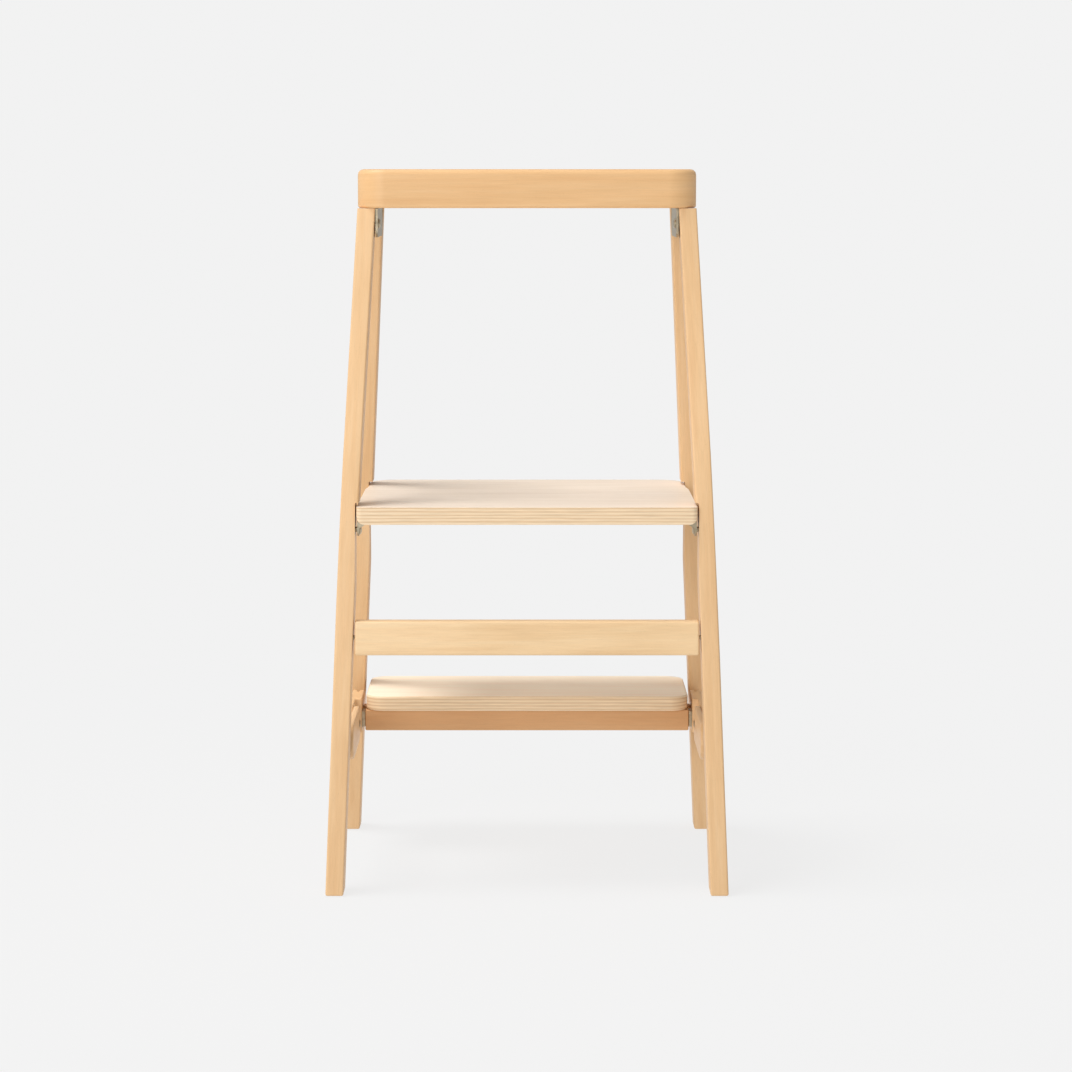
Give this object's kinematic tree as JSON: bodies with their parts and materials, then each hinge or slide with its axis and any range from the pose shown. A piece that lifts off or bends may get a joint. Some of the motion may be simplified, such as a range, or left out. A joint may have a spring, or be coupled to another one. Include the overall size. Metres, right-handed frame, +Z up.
{
  "type": "step ladder",
  "caption": "Folding wooden step ladder with bent rear legs, a hand hoop on top, a high plywood step and a low plywood step.",
  "frame": {"origin": "on the floor under the middle of the open ladder's footprint", "axes": "+Z up, +X across the ladder, +Y towards the climbing side where the lower step is"},
  "size_m": [0.4484, 0.4108, 0.801],
  "materials": {
    "beech": "satin lacquer",
    "birch_plywood": "satin lacquer",
    "zinc_steel": "satin zinc"
  },
  "bodies": {
    "front_frame": {"front_leg_left": "beech", "front_leg_right": "beech", "front_stay_bracket_left": "zinc_steel", "front_stay_bracket_right": "zinc_steel", "front_stay_bracket_screw_left_1": "zinc_steel", "front_stay_bracket_screw_right_1": "zinc_steel", "handle_hoop": "beech", "hinge_plate_left": "zinc_steel", "hinge_plate_right": "zinc_steel", "hinge_plate_screw_left_1": "zinc_steel", "hinge_plate_screw_left_2": "zinc_steel", "hinge_plate_screw_right_1": "zinc_steel", "hinge_plate_screw_right_2": "zinc_steel", "hoop_dowel_left": "beech", "hoop_dowel_right": "beech"},
    "rear_frame": {"crossbar_screw_left": "zinc_steel", "crossbar_screw_right": "zinc_steel", "hinge_pin_left": "zinc_steel", "hinge_pin_right": "zinc_steel", "rear_crossbar": "beech", "rear_leg_left": "beech", "rear_leg_right": "beech", "rear_stay_bracket_left": "zinc_steel", "rear_stay_bracket_right": "zinc_steel", "rear_stay_bracket_screw_left_1": "zinc_steel", "rear_stay_bracket_screw_left_2": "zinc_steel", "rear_stay_bracket_screw_right_1": "zinc_steel", "rear_stay_bracket_screw_right_2": "zinc_steel"},
    "upper_step": {"step_bracket_left": "zinc_steel", "step_bracket_right": "zinc_steel", "step_bracket_screw_left_1": "zinc_steel", "step_bracket_screw_left_2": "zinc_steel", "step_bracket_screw_right_1": "zinc_steel", "step_bracket_screw_right_2": "zinc_steel", "step_guide_pin_left": "zinc_steel", "step_guide_pin_right": "zinc_steel", "step_pivot_pin_left": "zinc_steel", "step_pivot_pin_right": "zinc_steel", "upper_step_board": "birch_plywood"},
    "lower_tray": {"beam_plate_left": "zinc_steel", "beam_plate_right": "zinc_steel", "beam_screw_left": "zinc_steel", "beam_screw_right": "zinc_steel", "front_beam": "beech", "front_stay_left": "beech", "front_stay_right": "beech", "front_stay_rivet_left": "zinc_steel", "front_stay_rivet_right": "zinc_steel", "lower_step_board": "birch_plywood", "rear_beam": "beech", "stay_nut_left": "zinc_steel", "stay_nut_right": "zinc_steel"},
    "stay_left": {"rear_stay_left": "beech", "rear_stay_rivet_left": "zinc_steel", "stay_bolt_left": "zinc_steel"},
    "stay_right": {"rear_stay_right": "beech", "rear_stay_rivet_right": "zinc_steel", "stay_bolt_right": "zinc_steel"}
  },
  "joints": [
    {"name": "frame_fold", "type": "hinge", "parent": "front_frame", "child": "rear_frame", "pos_m": [0, -0.0395, 0.74], "axis": [1, 0, 0], "range_deg": [0, 15]},
    {"name": "upper_step_fold", "type": "hinge", "parent": "rear_frame", "child": "upper_step", "pos_m": [0, -0.1395, 0.402], "axis": [1, 0, 0], "range_deg": [-59, 0]},
    {"name": "lower_tray_fold", "type": "hinge", "parent": "front_frame", "child": "lower_tray", "pos_m": [0, 0.1188, 0.159], "axis": [1, 0, 0], "range_deg": [-68.7, 0]},
    {"name": "stay_left_fold", "type": "hinge", "parent": "rear_frame", "child": "stay_left", "pos_m": [-0.2022, -0.1189, 0.159], "axis": [1, 0, 0], "range_deg": [0, 54.7]},
    {"name": "stay_right_fold", "type": "hinge", "parent": "rear_frame", "child": "stay_right", "pos_m": [0.2022, -0.1189, 0.159], "axis": [1, 0, 0], "range_deg": [0, 54.7]}
  ],
  "couplings": [
    {"joint": "upper_step_fold", "follows": "frame_fold", "ratio": -3.93},
    {"joint": "lower_tray_fold", "follows": "frame_fold", "ratio": -4.576},
    {"joint": "stay_left_fold", "follows": "frame_fold", "ratio": 3.644},
    {"joint": "stay_right_fold", "follows": "frame_fold", "ratio": 3.644}
  ]
}
